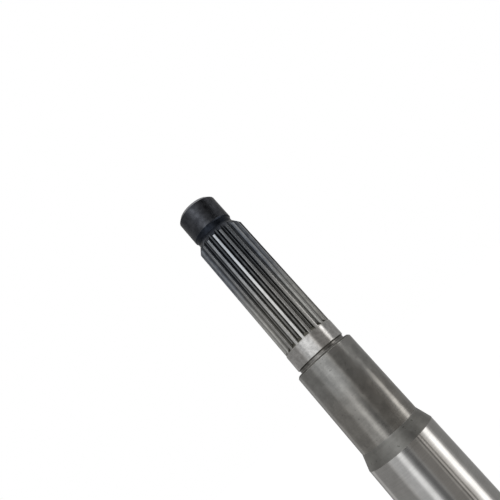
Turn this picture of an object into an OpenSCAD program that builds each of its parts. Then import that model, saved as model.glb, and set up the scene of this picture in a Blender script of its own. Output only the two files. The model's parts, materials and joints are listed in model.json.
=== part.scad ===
// Reverse gear shaft: one turned and ground steel shaft, standing on its large end.
// The axis is +Z and the origin is the middle of the large end face. Sizes are in millimetres.

/* [Large journal] */
// Diameter of the large polished journal
journal_d = 20.0; // [18.8:0.1:26]
// Length of the large journal, from the end face to the taper
journal_l = 45.0; // [20:0.5:70]
// Chamfer on the edge of the end face
journal_chamfer = 1.0; // [0.2:0.1:2.5]

/* [Taper] */
// Length of the taper between the large and the middle journal
taper_l = 3.7; // [2.5:0.1:12]
// Radius of the rounded edge at the taper's large end
taper_round = 0.5; // [0.2:0.1:5]
// Radius of the hollow blend at the taper's small end
taper_blend = 0.8; // [0.3:0.1:4]

/* [Middle journal] */
// Diameter of the middle journal
mid_d = 17.5; // [16.8:0.1:18.4]
// Length of the middle journal, from the taper to the shoulder face
mid_l = 23.8; // [10:0.1:60]
// Chamfer on the edge of the shoulder
shoulder_chamfer = 0.5; // [0.1:0.05:0.6]

/* [Relief groove] */
// Width of the grinding relief at its floor
groove_w = 0.75; // [0.4:0.05:3]
// Depth of the relief below the collar, which is also the width of its sloping wall
groove_depth = 0.32; // [0.1:0.02:0.6]
// Radius in the corner at the foot of the shoulder
groove_corner = 0.15; // [0.05:0.05:0.3]

/* [Collar] */
// Diameter of the smooth collar next to the spline
collar_d = 15.0; // [14.9:0.05:16]
// Length of the collar's ground surface
collar_l = 4.7; // [2:0.1:15]

/* [Spline] */
// Number of teeth
spline_teeth = 20; // [16:1:24]
// Diameter over the tops of the teeth
spline_d = 14.75; // [14:0.05:14.85]
// Depth of the tooth spaces
tooth_h = 0.78; // [0.5:0.02:0.9]
// Pressure angle of the tooth flanks, in degrees
pressure_angle = 30; // [25:0.5:33]
// Radius in the two corners of each tooth space
space_corner = 0.15; // [0.05:0.01:0.18]
// Length of the teeth at their full diameter, from the collar to the lead chamfer
spline_l = 36.4; // [15:0.1:80]
// Length over which the tooth spaces run out towards the collar
runout_l = 1.15; // [0.5:0.05:4]
// Length of the lead chamfer on the ends of the teeth
lead_l = 2.2; // [1:0.1:5]

/* [Spigot] */
// Diameter of the plain spigot at the splined end
spigot_d = 12.4; // [11:0.1:12.9]
// Length of the spigot
spigot_l = 8.6; // [6.5:0.1:20]
// Chamfer on the end of the spigot
spigot_chamfer = 1.0; // [0.2:0.1:2]
// Width of the undercut between the teeth and the spigot
undercut_w = 1.4; // [0.6:0.1:4]
// Depth of the undercut below the spigot
undercut_depth = 0.35; // [0.1:0.05:0.8]

/* [Centre holes] */
// Diameter of the pilot drilling in each end
centre_pilot_d = 2.5; // [1.5:0.1:3]
// Diameter of the countersink's mouth
centre_mouth_d = 5.3; // [3.5:0.1:7]
// Depth of the pilot drilling from the end face
centre_depth = 5.5; // [5:0.1:9]

/* [Hidden] */
STEEL = [0.47, 0.46, 0.44];

// Radii
journal_r = journal_d / 2;
mid_r = mid_d / 2;
collar_r = collar_d / 2;
groove_r = collar_r - groove_depth;
tip_r = spline_d / 2;
root_r = tip_r - tooth_h;
spigot_r = spigot_d / 2;
undercut_r = spigot_r - undercut_depth;

// Heights, from the large end face up
z_taper = journal_l;
z_mid = z_taper + taper_l;
z_shoulder = z_mid + mid_l;
z_collar = z_shoulder + groove_w + groove_depth;
z_spline = z_collar + collar_l;
z_lead = z_spline + spline_l;
z_undercut = z_lead + lead_l;
z_spigot = z_undercut + undercut_w;
z_top = z_spigot + spigot_l;

// Tooth form: the tops of the teeth stand half a module above the pitch circle
spline_module = spline_d / (spline_teeth + 1);
pitch_r = spline_module * spline_teeth / 2;
base_r = pitch_r * cos(pressure_angle);
tooth_pitch = 360 / spline_teeth;
flank_steps = 4;

// Countersink of a centre hole, and the cone that a twist drill leaves at its bottom
countersink_angle = 60;
drill_angle = 118;

arc_steps = 6;
spill = 1;        // how far a cutter reaches past the surface that it cuts
tip_spill = 0.05; // how far a tooth space reaches past the tops of the teeth

function unit(v) = v / norm(v);
function turn(a) = a > 180 ? a - 360 : a < -180 ? a + 360 : a;

// Points of the arc of radius r that rounds the corner p between the points a and b
function rounded(a, p, b, r) =
    let (u = unit(a - p), v = unit(b - p), half = acos(u * v) / 2)
    let (c = p + unit(u + v) * r / sin(half), s = p + u * r / tan(half) - c, e = p + v * r / tan(half) - c)
    let (from = atan2(s.y, s.x), sweep = turn(atan2(e.y, e.x) - from))
    [for (i = [0:arc_steps]) c + r * [cos(from + sweep * i / arc_steps), sin(from + sweep * i / arc_steps)]];

// Outline through corners [x, y, rounding], closed, with each rounding worked out as an arc
function outline(corners) =
    let (n = len(corners), at = [for (k = corners) [k.x, k.y]])
    [for (i = [0:n - 1], p = corners[i].z == 0
        ? [at[i]]
        : rounded(at[(i + n - 1) % n], at[i], at[(i + 1) % n], corners[i].z)) p];

// Involute of an angle, in degrees
function involute(a) = tan(a) * 180 / PI - a;

// Half of the angle that a tooth space spans at radius r
function space_half(r) =
    tooth_pitch / 4 - involute(pressure_angle) + involute(acos(base_r / r));

// Point of a space's flank at radius r, on the side +1 or -1
function flank(r, side) = r * [cos(space_half(r)), side * sin(space_half(r))];

// The turned blank, before the teeth are cut
module blank() {
    rotate_extrude()
        polygon(outline([
            [0, 0, 0],
            [journal_r - journal_chamfer, 0, 0],
            [journal_r, journal_chamfer, 0],
            [journal_r, z_taper, taper_round],
            [mid_r, z_mid, taper_blend],
            [mid_r, z_shoulder - shoulder_chamfer, 0],
            [mid_r - shoulder_chamfer, z_shoulder, 0],
            [groove_r, z_shoulder, groove_corner],
            [groove_r, z_shoulder + groove_w, 0],
            [collar_r, z_collar, 0],
            [collar_r, z_spline, 0],
            [tip_r, z_spline, 0],
            [tip_r, z_lead, 0],
            [undercut_r, z_undercut, 0],
            [undercut_r, z_spigot, 0],
            [spigot_r, z_spigot + undercut_depth, 0],
            [spigot_r, z_top - spigot_chamfer, 0],
            [spigot_r - spigot_chamfer, z_top, 0],
            [0, z_top, 0]
        ]));
}

// Section of one space between two teeth, centred on +X
module space_section() {
    outer_r = tip_r + tip_spill;
    radii = [for (i = [1:flank_steps]) root_r + (outer_r - root_r) * i / flank_steps];
    foot = flank(root_r, 1);
    right = [for (i = [flank_steps - 1:-1:0]) [each flank(radii[i], -1), 0]];
    left = [for (r = radii) [each flank(r, 1), 0]];
    polygon(outline(concat(right, [[foot.x, -foot.y, space_corner], [foot.x, foot.y, space_corner]], left)));
}

// One tooth space: it runs along the teeth and out of the lead chamfer, and rises to the collar
module tooth_space() {
    slope = (collar_r - root_r) / runout_l;
    difference() {
        translate([0, 0, z_spline])
            linear_extrude(height = spline_l + lead_l)
                space_section();
        translate([0, 0, z_spline - spill])
            cylinder(h = runout_l + 2 * spill, r1 = collar_r + slope * spill, r2 = root_r - slope * spill);
    }
}

// All the tooth spaces, with a tooth centred on +X
module tooth_spaces() {
    for (i = [0:spline_teeth - 1])
        rotate([0, 0, (i + 0.5) * tooth_pitch])
            tooth_space();
}

// A centre hole: its mouth is at the origin and it goes down
module centre_hole() {
    mouth_r = centre_mouth_d / 2;
    pilot_r = centre_pilot_d / 2;
    sink_depth = (mouth_r - pilot_r) / tan(countersink_angle / 2);
    point_l = pilot_r / tan(drill_angle / 2);
    rotate_extrude()
        polygon([
            [0, spill],
            [mouth_r + spill * tan(countersink_angle / 2), spill],
            [pilot_r, -sink_depth],
            [pilot_r, -centre_depth],
            [0, -centre_depth - point_l]
        ]);
}

module shaft() {
    color(STEEL)
        difference() {
            blank();
            tooth_spaces();
            translate([0, 0, z_top])
                centre_hole();
            mirror([0, 0, 1])
                centre_hole();
        }
}

shaft();
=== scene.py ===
"""Looks of the reverse gear shaft: its finely divided surface, steel finishes, studio and camera."""
import json
import math

import bpy
from mathutils import Matrix, Vector


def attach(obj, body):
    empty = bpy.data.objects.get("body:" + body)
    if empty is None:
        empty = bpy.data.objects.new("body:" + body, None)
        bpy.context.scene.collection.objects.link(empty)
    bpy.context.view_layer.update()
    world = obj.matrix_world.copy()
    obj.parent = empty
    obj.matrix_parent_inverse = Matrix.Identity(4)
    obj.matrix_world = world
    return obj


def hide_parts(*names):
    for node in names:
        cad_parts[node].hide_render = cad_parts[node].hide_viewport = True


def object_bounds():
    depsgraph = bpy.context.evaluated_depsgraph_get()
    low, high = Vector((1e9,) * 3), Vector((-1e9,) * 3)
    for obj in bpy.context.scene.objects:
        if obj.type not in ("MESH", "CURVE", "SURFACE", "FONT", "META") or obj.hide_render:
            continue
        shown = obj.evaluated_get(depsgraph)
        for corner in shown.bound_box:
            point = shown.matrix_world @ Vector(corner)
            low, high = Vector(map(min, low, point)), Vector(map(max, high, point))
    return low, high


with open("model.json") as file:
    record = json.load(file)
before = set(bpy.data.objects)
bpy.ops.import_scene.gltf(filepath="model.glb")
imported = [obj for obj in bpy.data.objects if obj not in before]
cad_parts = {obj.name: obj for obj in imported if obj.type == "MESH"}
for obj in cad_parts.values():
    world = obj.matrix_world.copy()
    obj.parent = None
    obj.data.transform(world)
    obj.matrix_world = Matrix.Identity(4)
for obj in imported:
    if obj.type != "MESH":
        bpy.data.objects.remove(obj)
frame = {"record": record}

MM = 0.001
MM_PER_METRE = 1000
CAD_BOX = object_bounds()

# Sizes of the shaft in millimetres, the same as the solid's. Heights run up from the large end face.
MOUNTS = {mount["name"]: mount for mount in frame["record"]["mounts"]}
JOURNAL_R = MOUNTS["large_journal"]["dims"]["r_mm"]
MIDDLE_R = MOUNTS["middle_journal"]["dims"]["r_mm"]
SPIGOT_R = MOUNTS["spigot"]["dims"]["r_mm"]
COLLAR_R = 7.5
RELIEF_R = 7.18
TIP_R = 7.375
ROOT_R = 6.595
UNDERCUT_R = 5.85
Z_TAPER = 45.0
Z_MIDDLE = 48.7
Z_SHOULDER = 72.5
Z_RELIEF = 73.25
Z_COLLAR = 73.57
Z_SPLINE = 78.27
Z_RUNOUT = 79.42
Z_LEAD = 114.67
Z_UNDERCUT = 116.87
Z_SPIGOT = 118.27
Z_TOP = CAD_BOX[1].z / MM
SHOULDER_CHAMFER = 0.5
END_CHAMFER = 1.0
TAPER_ROUND = 0.5
TAPER_BLEND = 0.8
RELIEF_CORNER = 0.15

# Centre holes, the same as the solid's
CENTRE_MOUTH_R = 2.65
CENTRE_PILOT_R = 1.25
CENTRE_DEPTH = 5.5
COUNTERSINK = math.radians(60)
DRILL_POINT = math.radians(118)

# Tooth form
TEETH = 20
PITCH = 2 * math.pi / TEETH
PRESSURE_ANGLE = math.radians(30)
PITCH_R = TIP_R * TEETH / (TEETH + 1)
BASE_R = PITCH_R * math.cos(PRESSURE_ANGLE)

# Fine roundings: the solid's outer edges are sharp, and its tooth spaces have smaller corners
EDGE_BREAK = 0.07
LAND_EDGE = 0.06
SPACE_CORNER = 0.33

# How finely the surface is divided
EDGE_STEPS = 3
CORNER_STEPS = 6
BLEND_STEPS = 10
LARGE_ROUNDING = 0.2  # roundings above this are the taper's, and those below it are edges
LAND_STEP = 0.02  # angle from the middle of a land to the point beside it
FLANK_SHARES = (0.25, 0.42, 0.6)  # points of a flank, as shares of the way from its top to its foot
FLANK_REACH = 0.15  # how far from its ends a flank's direction is taken
TOOTH_SPANS = 8  # stretches between rings along the full teeth
SAME_HEIGHT = 1e-5  # rings closer than this are one
FLAT = 5e-7  # a quad whose diagonals differ by less than this isn't bent
SHARP_ANGLE = math.radians(28)

# Extra rings that keep a long stretch's shading straight up to its roundings
LONG_STRETCH = 1.0
HOLD = 0.05

# How far in the lands' finish reaches from the tip radius, and how far out the floors' from the root radius
LAND_DEPTH = 0.02
FLOOR_RISE = 0.01


# Outlines

def rounded(a, p, b, radius, steps):
    """Points of the arc of that radius which rounds the corner p between a and b."""
    a, p, b = Vector(a), Vector(p), Vector(b)
    u, v = (a - p).normalized(), (b - p).normalized()
    half = math.acos(max(-1.0, min(1.0, u.dot(v)))) / 2
    centre = p + (u + v).normalized() * radius / math.sin(half)
    start = p + u * radius / math.tan(half) - centre
    end = p + v * radius / math.tan(half) - centre
    first = math.atan2(start.y, start.x)
    sweep = math.remainder(math.atan2(end.y, end.x) - first, 2 * math.pi)
    turns = [first + sweep * i / steps for i in range(steps + 1)]
    return [(centre.x + radius * math.cos(t), centre.y + radius * math.sin(t)) for t in turns]


def turned(corners):
    """Profile through corners (radius, height, rounding, zone of the stretch that follows).
    Gives points (radius, height, zone). A small rounding is a bright edge, partly wear and partly painted
    highlight, except on the spigot, and a larger one has the taper's finish."""
    points = []
    for i, (r, z, rounding, zone) in enumerate(corners):
        if rounding == 0 or i in (0, len(corners) - 1):
            points.append((r, z, zone))
            continue
        large = rounding > LARGE_ROUNDING
        before, after = corners[i - 1][:2], corners[i + 1][:2]
        arc = rounded(before, (r, z), after, rounding, BLEND_STEPS if large else EDGE_STEPS)
        small_zone = "spigot" if zone == "spigot" else "edge"
        points += [(x, y, "taper" if large else small_zone) for x, y in arc[:-1]]
        points.append((*arc[-1], zone))
    return held(points)


def held(points):
    """Adds a point close to each end of a long stretch, so that the stretch is shaded straight."""
    more = []
    for (r, z, zone), (next_r, next_z, _) in zip(points, points[1:]):
        more.append((r, z, zone))
        length = math.hypot(next_r - r, next_z - z)
        if length > LONG_STRETCH:
            for share in (HOLD / length, 1 - HOLD / length):
                more.append((r + (next_r - r) * share, z + (next_z - z) * share, zone))
    return more + points[-1:]


def involute(angle):
    """The involute function of an angle in radians."""
    return math.tan(angle) - angle


def space_half(r):
    """Half of the angle that a tooth space spans at radius r."""
    return PITCH / 4 - involute(PRESSURE_ANGLE) + involute(math.acos(BASE_R / r))


def at_angle(r, angle):
    """Point of the section at that radius and angle."""
    return r * math.cos(angle), r * math.sin(angle)


def flank(r):
    """Point of a tooth's flank at radius r, with the tooth centred on +X."""
    return at_angle(r, PITCH / 2 - space_half(r))


def half_section():
    """One half of a tooth and of the space beside it: (angle from the tooth's middle, radius)."""
    middle = (TIP_R, 0.0)
    floor_middle = at_angle(ROOT_R * math.cos(space_half(ROOT_R)), PITCH / 2)
    points = [middle, at_angle(TIP_R, LAND_STEP)]
    points += rounded(middle, flank(TIP_R), flank(TIP_R - FLANK_REACH), LAND_EDGE, EDGE_STEPS)
    points += [flank(TIP_R + (ROOT_R - TIP_R) * share) for share in FLANK_SHARES]
    points += rounded(flank(ROOT_R + FLANK_REACH), flank(ROOT_R), floor_middle, SPACE_CORNER, CORNER_STEPS)
    points.append(floor_middle)
    return [(math.atan2(y, x), math.hypot(x, y)) for x, y in points]


def full_section():
    """The whole toothed section as (angle, radius), with a tooth centred on +X."""
    half = half_section()
    tooth = [(-angle, r) for angle, r in reversed(half[1:])] + half[:-1]
    return [(angle + PITCH * i, r) for i in range(TEETH) for angle, r in tooth]


# The shaft's surface: rings of points, all with the same angles

def ramp(z):
    """Radius of the cone on which the tooth spaces run out towards the collar."""
    return COLLAR_R - (COLLAR_R - ROOT_R) * (z - Z_SPLINE) / (Z_RUNOUT - Z_SPLINE)


def lead(z):
    """Radius of the lead chamfer's cone."""
    return TIP_R - (TIP_R - UNDERCUT_R) * (z - Z_LEAD) / (Z_UNDERCUT - Z_LEAD)


def toothed(r, z):
    """Radius at height z where the section's radius is r."""
    return max(min(r, lead(z)), min(ramp(z), TIP_R))


def toothed_heights(section):
    """Heights of the rings along the teeth, with one wherever a cone meets a radius of the section."""
    levels = sorted({round(r, 6) for _, r in section})
    runout = [Z_SPLINE + (Z_RUNOUT - Z_SPLINE) * (COLLAR_R - r) / (COLLAR_R - ROOT_R) for r in levels]
    chamfer = [Z_LEAD + (Z_UNDERCUT - Z_LEAD) * (TIP_R - r) / (TIP_R - UNDERCUT_R) for r in levels]
    along = [Z_RUNOUT + (Z_LEAD - Z_RUNOUT) * i / TOOTH_SPANS for i in range(1, TOOTH_SPANS)]
    found = sorted(runout + along + chamfer + [Z_LEAD])
    return [z for i, z in enumerate(found) if i == 0 or z - found[i - 1] > SAME_HEIGHT]


def tooth_zone(r, z):
    """Zone of the toothed stretch at a point whose section radius is r."""
    if lead(z) < r:
        return "lead"
    if ramp(z) > r:
        return "runout"
    if r > TIP_R - LAND_DEPTH:
        return "land"
    return "floor" if r < ROOT_R + FLOOR_RISE else "flank"


def centre_profile():
    """A centre hole's profile as (radius, depth), from its mouth to the axis."""
    sink = (CENTRE_MOUTH_R - CENTRE_PILOT_R) / math.tan(COUNTERSINK / 2)
    point = CENTRE_PILOT_R / math.tan(DRILL_POINT / 2)
    return [(CENTRE_MOUTH_R, 0.0), (CENTRE_PILOT_R, sink), (CENTRE_PILOT_R, CENTRE_DEPTH),
            (0.0, CENTRE_DEPTH + point)]


def lower_profile():
    """From the mouth of the lower centre hole to the start of the teeth."""
    return turned([
        (CENTRE_MOUTH_R, 0.0, 0, "face"),
        (JOURNAL_R - END_CHAMFER, 0.0, EDGE_BREAK, "chamfer"),
        (JOURNAL_R, END_CHAMFER, EDGE_BREAK, "journal"),
        (JOURNAL_R, Z_TAPER, TAPER_ROUND, "taper"),
        (MIDDLE_R, Z_MIDDLE, TAPER_BLEND, "middle"),
        (MIDDLE_R, Z_SHOULDER - SHOULDER_CHAMFER, EDGE_BREAK, "shoulder"),
        (MIDDLE_R - SHOULDER_CHAMFER, Z_SHOULDER, EDGE_BREAK, "relief"),
        (RELIEF_R, Z_SHOULDER, RELIEF_CORNER, "relief"),
        (RELIEF_R, Z_RELIEF, 0, "relief"),
        (COLLAR_R, Z_COLLAR, EDGE_BREAK, "collar"),
        (COLLAR_R, Z_SPLINE, EDGE_BREAK, "edge"),
        (TIP_R, Z_SPLINE, 0, "edge"),
    ])


def upper_profile(start):
    """From the last toothed ring, which is at the height start, to the mouth of the upper centre hole."""
    return turned([
        (lead(start), start, 0, "lead"),
        (UNDERCUT_R, Z_UNDERCUT, 0, "undercut"),
        (UNDERCUT_R, Z_SPIGOT, 0, "undercut"),
        (SPIGOT_R, Z_SPIGOT + SPIGOT_R - UNDERCUT_R, EDGE_BREAK, "spigot"),
        (SPIGOT_R, Z_TOP - END_CHAMFER, EDGE_BREAK, "spigot"),
        (SPIGOT_R - END_CHAMFER, Z_TOP, EDGE_BREAK, "spigot"),
        (CENTRE_MOUTH_R, Z_TOP, 0, "hole"),
    ])


def shaft_rings(section):
    """Rings from the bottom of the lower centre hole to that of the upper one, as (radius, height, zone).
    A toothed ring has a list of radii, one for each point of the section. The lowest of the toothed rings
    is left out, because the next one is only 0.001 mm above it."""
    hole = centre_profile()
    heights = toothed_heights(section)
    rings = [(r, depth, "hole") for r, depth in reversed(hole[1:])]
    rings += lower_profile()
    rings += [([toothed(r, z) for _, r in section], z, "teeth") for z in heights[1:]]
    rings += upper_profile(heights[-1])[1:]
    rings += [(r, Z_TOP - depth, "hole") for r, depth in hole[1:]]
    return rings


def ring_points(rings, section):
    """All the points of the rings, with each ring's radii and the index of its first point.
    A ring on the axis is a single point."""
    points, radii, starts = [], [], []
    for r, z, _ in rings:
        row = r if isinstance(r, list) else [r] * len(section)
        radii.append(row)
        starts.append(len(points))
        if max(row) == 0:
            points.append((0.0, 0.0, z * MM))
        else:
            points += [(q * math.cos(angle) * MM, q * math.sin(angle) * MM, z * MM)
                       for q, (angle, _) in zip(row, section)]
    return points, radii, starts


def split(quad, radii, middle):
    """A flat quad stays whole. A bent one is cut along the diagonal that lies nearer the true surface,
    whose radius at the quad's middle is given."""
    a, b, c, d = quad
    first, second = (radii[0] + radii[2]) / 2, (radii[1] + radii[3]) / 2
    if middle is None or abs(first - second) < FLAT:
        return [quad]
    if abs(first - middle) <= abs(second - middle):
        return [(a, b, c), (a, c, d)]
    return [(a, b, d), (b, c, d)]


def cell(rings, radii, starts, section, i, column):
    """Faces between ring i and the next one, from one column of points to the next, and their zone."""
    following = (column + 1) % len(section)
    zone, middle = rings[i][2], None
    if zone == "teeth":
        r = (section[column][1] + section[following][1]) / 2
        z = (rings[i][1] + rings[i + 1][1]) / 2
        zone, middle = tooth_zone(r, z), toothed(r, z)
    low, high = starts[i], starts[i + 1]
    if radii[i][column] == 0:
        return [(low, high + following, high + column)], zone
    if radii[i + 1][column] == 0:
        return [(low + column, low + following, high)], zone
    quad = (low + column, low + following, high + following, high + column)
    corners = (radii[i][column], radii[i][following], radii[i + 1][following], radii[i + 1][column])
    return split(quad, corners, middle), zone


def shaft_mesh(zones):
    """The shaft as one closed mesh. zones gives each zone's material index."""
    section = full_section()
    rings = shaft_rings(section)
    points, radii, starts = ring_points(rings, section)
    faces, marks = [], []
    for i in range(len(rings) - 1):
        for column in range(len(section)):
            new, zone = cell(rings, radii, starts, section, i, column)
            faces += new
            marks += [zones[zone]] * len(new)
    mesh = bpy.data.meshes.new("shaft_finish")
    mesh.from_pydata(points, [], faces)
    mesh.polygons.foreach_set("material_index", marks)
    mesh.polygons.foreach_set("use_smooth", [True] * len(faces))
    mesh.set_sharp_from_angle(angle=SHARP_ANGLE)
    mesh.validate()
    return mesh


# Materials

# Noise values between which a pattern goes from none to full
BLOTCH_RANGE = (0.35, 0.65)
GLOSS_RANGE = (0.3, 0.7)
LINE_RANGE = (0.3, 0.7)
PIT_RANGE = (0.70, 0.76)

# Features per millimetre: down the length of a tool line that runs along the shaft or round it, and of pits
LINE_ALONG = 0.02
LINE_ROUND = 0.03
PIT_SCALE = 1.3
GLOSS_SCALE = 1.7  # features of the gloss to each one of the blotches

# Shifts that keep one pattern from lining up with another
GLOSS_SHIFT = (7, 3, 5)
PIT_SHIFT = (11, 2, 9)

# Tones of tool lines and pits, as shares of the dark tone, and how much the lines show
LINE_TONE = 0.5
LINE_SHARE = 0.12
PIT_TONE = 0.35

QUARTER_TURN = 0.25  # an anisotropic rotation of 90 degrees
WHITE = (1.0, 1.0, 1.0)


class Nodes:
    """Short calls that add and link shader nodes."""

    def __init__(self, tree):
        self.tree = tree

    def add(self, kind, inputs=(), **settings):
        """A new node with those settings. An input is given a value or another node's output."""
        node = self.tree.nodes.new(kind)
        for name, value in settings.items():
            setattr(node, name, value)
        for key, value in dict(inputs).items():
            self.put(node.inputs[key], value)
        return node

    def put(self, socket, value):
        """Links an output to the socket, or sets its value."""
        if isinstance(value, bpy.types.NodeSocket):
            self.tree.links.new(value, socket)
        else:
            socket.default_value = value

    def math(self, operation, a, b=0.0, c=0.0):
        return self.add("ShaderNodeMath", {0: a, 1: b, 2: c}, operation=operation).outputs[0]

    def fit(self, value, low, high, to_low=0.0, to_high=1.0):
        """Goes smoothly from to_low to to_high while value goes from low to high."""
        inputs = {"Value": value, "From Min": low, "From Max": high, "To Min": to_low, "To Max": to_high}
        return self.add("ShaderNodeMapRange", inputs, interpolation_type="SMOOTHSTEP").outputs["Result"]

    def mix(self, share, a, b):
        """The colour a with that share of the colour b. The node's colours are sockets 6, 7 and 2."""
        node = self.add("ShaderNodeMix", data_type="RGBA")
        self.put(node.inputs["Factor"], share)
        self.put(node.inputs[6], a)
        self.put(node.inputs[7], b)
        return node.outputs[2]

    def millimetres(self, scale=(1, 1, 1), shift=(0, 0, 0)):
        """The object's own coordinates in millimetres, times scale."""
        where = self.add("ShaderNodeTexCoord").outputs["Object"]
        inputs = {"Vector": where, "Scale": tuple(MM_PER_METRE * s for s in scale), "Location": shift}
        return self.add("ShaderNodeMapping", inputs).outputs["Vector"]

    def noise(self, scale, detail=3.0, roughness=0.55, shift=(0, 0, 0)):
        """Noise from 0 to 1 whose scale says how many features there are per millimetre along X, Y and Z."""
        inputs = {"Vector": self.millimetres(scale, shift), "Scale": 1.0, "Detail": detail,
                  "Roughness": roughness}
        return self.add("ShaderNodeTexNoise", inputs).outputs["Fac"]

    def height(self):
        """Height above the large end face, in millimetres."""
        return self.add("ShaderNodeSeparateXYZ", {0: self.millimetres()}).outputs["Z"]

    def radius(self):
        """Distance from the shaft's axis, in millimetres."""
        parts = self.add("ShaderNodeSeparateXYZ", {0: self.millimetres()}).outputs
        square = self.math("ADD", self.math("MULTIPLY", parts["X"], parts["X"]),
                           self.math("MULTIPLY", parts["Y"], parts["Y"]))
        return self.math("SQRT", square)


def new_material(name):
    """An empty node material, and the calls that fill it."""
    material = bpy.data.materials.new(name)
    material.use_nodes = True
    material.node_tree.nodes.clear()
    return material, Nodes(material.node_tree)


def rgb(colour, share=1.0):
    """The colour darkened to that share, with its alpha."""
    return (*(share * c for c in colour), 1.0)


def blotched(g, light, dark, blotch, fade):
    """Blotches between a light and a dark tone, which turn into those of fade if it is given."""
    patches = g.fit(g.noise((blotch,) * 3, 4.0, 0.6), *BLOTCH_RANGE)
    colour = g.mix(patches, rgb(dark), rgb(light))
    if fade is None:
        return colour
    start, end, new_light, new_dark = fade
    return g.mix(g.fit(g.height(), start, end), colour, g.mix(patches, rgb(new_dark), rgb(new_light)))


def painted_depth_shade(g, colour, outer, inner, share):
    """The colour with painted shade, darkened to that share from the outer radius to the inner one."""
    shade = g.fit(g.radius(), inner, outer, share, 1.0)
    return g.add("ShaderNodeVectorMath", {0: colour, "Scale": shade}, operation="SCALE").outputs[0]


def pitted(g, colour, dark, pits):
    """The colour with dark pits, as strong as pits says."""
    pit = g.fit(g.noise((PIT_SCALE,) * 3, 1.0, 0.4, PIT_SHIFT), *PIT_RANGE)
    return g.mix(g.math("MULTIPLY", pit, pits), colour, rgb(dark, PIT_TONE))


def steel(name, light, dark, roughness, spread=0.05, blotch=0.25, lines=None, line_height=0.0,
          along=False, pits=0.0, anisotropic=0.0, metallic=1.0, fade=None, shade_inward=None):
    """A steel finish: blotches between a light and a dark tone, fine tool lines and pits.
    lines is how many tool lines there are per millimetre; they run round the shaft, or along it.
    fade is (height, height, light, dark): the tones turn into those between the two heights.
    deep is (radius, radius, share): painted shade, darkening the tone to that share from outer to inner
    radius."""
    material, g = new_material(name)
    gloss = g.noise((blotch * GLOSS_SCALE,) * 3, 3.0, 0.6, GLOSS_SHIFT)
    rough = g.fit(gloss, *GLOSS_RANGE, roughness - spread, roughness + spread)
    shader = g.add("ShaderNodeBsdfPrincipled", {"Roughness": rough, "Metallic": metallic})
    colour = blotched(g, light, dark, blotch, fade)
    if shade_inward:
        colour = painted_depth_shade(g, colour, *shade_inward)
    if lines:
        tool = g.noise((lines, lines, LINE_ALONG) if along else (LINE_ROUND, LINE_ROUND, lines), 2.0, 0.6)
        colour = g.mix(g.fit(tool, *LINE_RANGE, 0.0, LINE_SHARE), colour, rgb(dark, LINE_TONE))
        bump = g.add("ShaderNodeBump", {"Height": tool, "Strength": 1.0, "Distance": line_height * MM})
        g.put(shader.inputs["Normal"], bump.outputs[0])
    if pits:
        colour = pitted(g, colour, dark, pits)
    g.put(shader.inputs["Base Color"], colour)
    if anisotropic:
        around = g.add("ShaderNodeTangent", direction_type="RADIAL", axis="Z")
        g.put(shader.inputs["Tangent"], around.outputs[0])
        g.put(shader.inputs["Anisotropic"], anisotropic)
        g.put(shader.inputs["Anisotropic Rotation"], QUARTER_TURN)
    output = g.add("ShaderNodeOutputMaterial")
    g.put(output.inputs["Surface"], shader.outputs[0])
    return material


def journal_finishes():
    """Materials of the zones from the large end face to the collar, and of worn edges.
    Each starts with its light tone, dark tone, roughness, spread and blotches."""
    relief = steel("relief_steel", (0.28, 0.272, 0.257), (0.193, 0.186, 0.174), 0.20, 0.04, 0.6,
                   lines=4.0, line_height=0.002)
    return {
        "face": steel("faced_steel", (0.45, 0.44, 0.43), (0.36, 0.355, 0.345), 0.3, 0.05, 0.3,
                      lines=3.0, line_height=0.002, anisotropic=0.5),
        "chamfer": relief,
        "journal": steel("ground_steel", (0.60, 0.59, 0.575), (0.53, 0.52, 0.505), 0.13, 0.02, 0.2,
                         lines=5.0, line_height=0.0005, anisotropic=0.6),
        "taper": steel("matte_steel", (0.34, 0.335, 0.315), (0.27, 0.265, 0.25), 0.40, 0.05, 0.3,
                       lines=2.5, line_height=0.003, pits=0.5, metallic=0.9),
        "middle": steel("worn_steel", (0.37, 0.356, 0.331), (0.295, 0.284, 0.264), 0.165, 0.015, 0.35,
                        lines=4.0, line_height=0.0012, pits=0.4, metallic=0.85,
                        fade=(58, 67, (0.363, 0.359, 0.345), (0.289, 0.286, 0.274))),
        # painted reflection: the shoulder's chamfer is coloured dark for the dark surroundings it mirrors
        "shoulder": steel("shoulder_dark_reflection", (0.15, 0.145, 0.135), (0.09, 0.087, 0.08), 0.35, 0.05, 0.6),
        "relief": relief,
        "collar": steel("collar_steel", (0.66, 0.65, 0.635), (0.51, 0.50, 0.487), 0.14, 0.03, 1.1,
                        lines=3.0, line_height=0.002),
        # bright edges: partly wear, partly a painted highlight
        "edge": steel("worn_and_highlight_edge", (0.62, 0.61, 0.59), (0.5, 0.49, 0.47), 0.25, 0.03, 0.6),
    }


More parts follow.
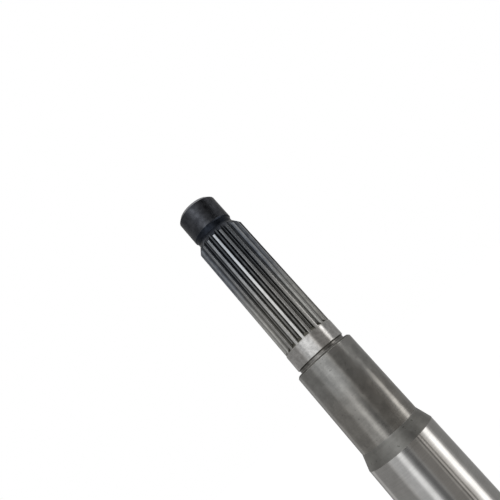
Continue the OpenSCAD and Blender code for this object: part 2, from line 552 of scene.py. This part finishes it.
def spline_finishes():
    """Materials of the zones from the teeth to the spigot, and of the centre holes."""
    # The lead chamfer and undercut are near black: partly a dark oxide, partly painted shade.
    lead_in = steel("lead_oxide_and_shade", (0.036, 0.042, 0.056), (0.020, 0.024, 0.033), 0.34, 0.05, 0.6,
                    lines=3.0, line_height=0.002)
    return {
        # The teeth darken and turn bluer towards the tip: partly a dark oxide, partly painted shade.
        "land": steel("land_steel", (0.59, 0.585, 0.57), (0.48, 0.475, 0.46), 0.24, 0.015, 0.35,
                      lines=6.0, line_height=0.001, along=True,
                      fade=(90, 108, (0.455, 0.478, 0.505), (0.345, 0.367, 0.393))),
        "flank": steel("flank_steel", (0.41, 0.403, 0.378), (0.32, 0.315, 0.295), 0.22, 0.03, 0.5,
                       lines=5.0, line_height=0.0006, along=True,
                       fade=(86, 104, (0.16, 0.174, 0.196), (0.094, 0.103, 0.121)),
                       # painted shade: the flanks darken towards the bottom of the tooth spaces
                       shade_inward=(7.3, 6.75, 0.34)),
        "floor": steel("space_floor", (0.17, 0.168, 0.16), (0.126, 0.124, 0.117), 0.22, 0.03, 0.5,
                       lines=5.0, line_height=0.001, along=True,
                       fade=(88, 108, (0.09, 0.098, 0.11), (0.055, 0.061, 0.07))),
        # painted shade: the ends of the tooth spaces by the collar are coloured dark
        "runout": steel("runout_painted_shade", (0.16, 0.155, 0.135), (0.09, 0.088, 0.075), 0.38, 0.06, 0.5),
        "lead": lead_in,
        "undercut": lead_in,
        # The spigot is dark: partly a dark oxide, partly painted shade.
        "spigot": steel("oxide_and_shade_steel", (0.10, 0.105, 0.118), (0.06, 0.063, 0.072), 0.29, 0.06, 0.6,
                        lines=3.0, line_height=0.002),
        "hole": steel("drilled_steel", (0.46, 0.45, 0.44), (0.36, 0.355, 0.345), 0.3, 0.05, 0.8,
                      lines=4.0, line_height=0.002),
    }


def make_shaft():
    """The shaft's visible piece, in place of the solid's mesh."""
    finishes = {**journal_finishes(), **spline_finishes()}
    materials = list(dict.fromkeys(finishes.values()))
    mesh = shaft_mesh({zone: materials.index(material) for zone, material in finishes.items()})
    for material in materials:
        mesh.materials.append(material)
    piece = bpy.data.objects.new("shaft_finish", mesh)
    bpy.context.scene.collection.objects.link(piece)
    weighted = piece.modifiers.new("weighted_normals", "WEIGHTED_NORMAL")
    weighted.keep_sharp = True
    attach(piece, "root")
    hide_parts("shaft")


# Studio

FACING = -84.2  # azimuth from the shaft to the camera, in degrees
ROOM_LEVEL = 0.32

# Light that grows towards straight above and straight below, between two elevations
OVERHEAD = {"low": 40, "high": 60, "to_high": 0.6}
UNDERFOOT = {"low": -50, "high": -70, "to_high": 0.45}

# Tints of the room's light, and where the warm and the cool one are: centre, half width and softness
PLAIN_TINT = (1.0, 0.99, 0.975)
WARM_TINT = (1.0, 0.962, 0.915)
COOL_TINT = (0.98, 0.99, 1.0)
WARM_SIDE = (40, 26, 14)
WARM_TOP = (5, 9)
COOL_SIDE = (-25, 32, 20)

# Elevations over which a panel starts or ends. The first two leave it whole, and the key light's lowest
# part ends over the third.
ALWAYS = (-90, -89)
NEVER = (89, 90)
KEY_LOW = {"high": (-8, -6)}

# Light panels, added to the room's level: (strength, centre, half width, softness, limits)
PANELS = [
    # dark gaps
    (-0.06, 33, 18, 10, {}),
    (-0.12, 28, 30, 10, {"low": (-8, -5), "high": (1, 4)}),
    (-0.24, 60, 20, 14, {"low": (13, 17)}),
    (-0.14, 2, 6, 7, {"high": (-1, 4)}),
    (-0.16, 72, 14, 10, {"low": (-5, -1), "high": (2, 4)}),
    # key light in three parts with a faint one above, and narrow strips beside the lowest part
    (1.66, 80.5, 10.5, 13, KEY_LOW),
    (0.14, 97, 5, 8, KEY_LOW),
    (0.44, 64, 4, 2.5, KEY_LOW),
    (-0.17, 57.5, 1.5, 2.5, KEY_LOW),
    (0.36, 53, 2.5, 2.5, KEY_LOW),
    (-0.16, 47.5, 1.5, 2.5, KEY_LOW),
    (0.16, 43, 2.5, 3, KEY_LOW),
    (2.0, 85, 8, 12, {"low": (-8, -6), "high": (-7, 2)}),
    (1.9, 72.5, 7, 13, {"low": (3.6, 4.6), "high": (10, 13.5)}),
    (0.12, 90, 14, 16, {"low": (12, 20)}),
    # fill light with its hot spot
    (0.30, -37, 24, 15, {"high": (12, 28)}),
    (0.60, -21, 8, 11, {"high": (-3, 3)}),
    # tall lights above the horizon
    (0.66, 1, 15, 14, {"low": (-4, 1.5), "high": (16, 28)}),
    (0.38, -26, 12, 6, {"low": (-3, 3), "high": (22, 40)}),
    (0.35, -13, 7, 8, {"low": (6, 10), "high": (25, 45)}),
    (0.40, -14, 5, 6, {"low": (9, 15), "high": (25, 45)}),
    (0.20, -3, 24, 20, {"low": (22, 40)}),
    # soft lights behind, for the shaft's far side
    (0.55, 176, 12, 22, {}),
    (0.22, -138, 9, 10, {"high": (2, 6)}),
]


def between(g, angle, low, high, to_low=0.0, to_high=1.0):
    """The same as fit, with the limits low and high in degrees."""
    return g.fit(angle, math.radians(low), math.radians(high), to_low, to_high)


def band(g, azimuth, elevation, centre, half_width, soft, low=ALWAYS, high=NEVER):
    """Share of a light panel: 1 inside it and 0 outside. Angles are in degrees and centre is measured
    from the camera's azimuth. It starts over the elevations low and ends over high."""
    away = g.math("SUBTRACT", azimuth, math.radians(FACING + centre))
    away = g.math("ABSOLUTE", g.math("WRAP", away, math.pi, -math.pi))
    share = between(g, away, half_width + soft / 2, half_width - soft / 2)
    if low is not ALWAYS:
        share = g.math("MULTIPLY", share, between(g, elevation, low[0], low[1]))
    if high is not NEVER:
        share = g.math("MULTIPLY", share, between(g, elevation, high[1], high[0]))
    return share


def room_level(g, azimuth, elevation):
    """Brightness of the room and its panels in each direction."""
    level = ROOM_LEVEL
    for strength, centre, half_width, soft, limits in PANELS:
        share = band(g, azimuth, elevation, centre, half_width, soft, **limits)
        level = g.math("ADD", level, g.math("MULTIPLY", share, strength))
    overhead = between(g, elevation, **OVERHEAD)
    underfoot = between(g, elevation, **UNDERFOOT)
    return g.math("ADD", level, g.math("ADD", overhead, underfoot))


def room_tint(g, azimuth, elevation):
    """Colour of the room's light, warmer on one side and cooler on the other."""
    warm = band(g, azimuth, elevation, *WARM_SIDE, high=WARM_TOP)
    cool = band(g, azimuth, elevation, *COOL_SIDE)
    return g.mix(cool, g.mix(warm, rgb(PLAIN_TINT), rgb(WARM_TINT)), rgb(COOL_TINT))


def studio():
    """A grey room with soft light panels. The camera sees a plain white background instead."""
    world = bpy.data.worlds.new("studio")
    bpy.context.scene.world = world
    world.use_nodes = True
    world.node_tree.nodes.clear()
    g = Nodes(world.node_tree)
    direction = g.add("ShaderNodeTexCoord").outputs["Generated"]
    parts = g.add("ShaderNodeSeparateXYZ", {0: direction}).outputs
    azimuth = g.math("ARCTAN2", parts["Y"], parts["X"])
    elevation = g.math("ARCSINE", parts["Z"])
    room_light = g.add("ShaderNodeBackground", {"Color": room_tint(g, azimuth, elevation),
                                                "Strength": room_level(g, azimuth, elevation)})
    plain = g.add("ShaderNodeBackground", {"Color": rgb(WHITE), "Strength": 1.0})
    seen = g.add("ShaderNodeLightPath").outputs["Is Camera Ray"]
    mixed = g.add("ShaderNodeMixShader", {0: seen, 1: room_light.outputs[0], 2: plain.outputs[0]})
    output = g.add("ShaderNodeOutputWorld")
    g.put(output.inputs["Surface"], mixed.outputs[0])


FLOOR_HALF = 60.0  # in metres
FLOOR_DROP = 0.02  # in millimetres, just clear of the end face that stands on it
FLOOR_LIGHT = (0.61, 0.61, 0.62)
FLOOR_DARK = (0.60, 0.60, 0.61)
FLOOR_GLOW = 0.65
SPECKLE_SCALE = 0.05
SPECKLE_RANGE = (0.3, 0.7)


def floor_material():
    """A pale matte surface that can't be seen from below."""
    material, g = new_material("pale_floor")
    speckle = g.fit(g.noise((SPECKLE_SCALE,) * 3, 2.0), *SPECKLE_RANGE)
    colour = g.mix(speckle, rgb(FLOOR_DARK), rgb(FLOOR_LIGHT))
    shader = g.add("ShaderNodeBsdfPrincipled", {
        "Base Color": colour, "Roughness": 0.9, "Specular IOR Level": 0.0,
        "Emission Color": rgb(WHITE), "Emission Strength": FLOOR_GLOW})
    below = g.add("ShaderNodeNewGeometry").outputs["Backfacing"]
    open_side = g.add("ShaderNodeBsdfTransparent")
    sides = g.add("ShaderNodeMixShader", {0: below, 1: shader.outputs[0], 2: open_side.outputs[0]})
    output = g.add("ShaderNodeOutputMaterial")
    g.put(output.inputs["Surface"], sides.outputs[0])
    return material


def make_floor():
    """A plain pale floor with the shaft's soft shadow. It isn't mirrored in the steel."""
    z = -FLOOR_DROP * MM
    corners = [(x * FLOOR_HALF, y * FLOOR_HALF, z) for x, y in ((-1, -1), (1, -1), (1, 1), (-1, 1))]
    mesh = bpy.data.meshes.new("floor")
    mesh.from_pydata(corners, [], [(0, 1, 2, 3)])
    mesh.materials.append(floor_material())
    floor = bpy.data.objects.new("floor", mesh)
    bpy.context.scene.collection.objects.link(floor)
    floor.visible_glossy = False
    floor.visible_diffuse = False
    floor.visible_shadow = False


# Camera, from the edges of the shaft in the photograph

CAMERA_PLACE = (14.48, -138.95, 64.12)  # in millimetres
CAMERA_AZIMUTH = math.radians(94.28)
CAMERA_ELEVATION = math.radians(17.05)
CAMERA_ROLL = math.radians(-41.73)
CAMERA_LENS = 37.96  # in millimetres, for the sensor's width
CAMERA_SENSOR = 36.0
CAMERA_NEAR = 0.005  # in metres, as CAMERA_FAR
CAMERA_FAR = 200.0


def camera_turn():
    """The camera's rotation, from the direction in which it looks and its roll."""
    ahead = Vector((math.cos(CAMERA_AZIMUTH) * math.cos(CAMERA_ELEVATION),
                    math.sin(CAMERA_AZIMUTH) * math.cos(CAMERA_ELEVATION), math.sin(CAMERA_ELEVATION)))
    level = ahead.cross(Vector((0, 0, 1))).normalized()
    above = level.cross(ahead)
    right = level * math.cos(CAMERA_ROLL) + above * math.sin(CAMERA_ROLL)
    up = above * math.cos(CAMERA_ROLL) - level * math.sin(CAMERA_ROLL)
    return Matrix((right, up, -ahead)).transposed().to_4x4()


def make_camera():
    """The photograph's camera."""
    data = bpy.data.cameras.new("camera")
    data.sensor_width = CAMERA_SENSOR
    data.lens = CAMERA_LENS
    data.clip_start = CAMERA_NEAR
    data.clip_end = CAMERA_FAR
    camera = bpy.data.objects.new("camera", data)
    camera.matrix_world = Matrix.Translation(Vector(CAMERA_PLACE) * MM) @ camera_turn()
    bpy.context.scene.collection.objects.link(camera)
    bpy.context.scene.camera = camera


make_shaft()
studio()
make_floor()
make_camera()
bpy.context.scene.view_settings.view_transform = "Standard"
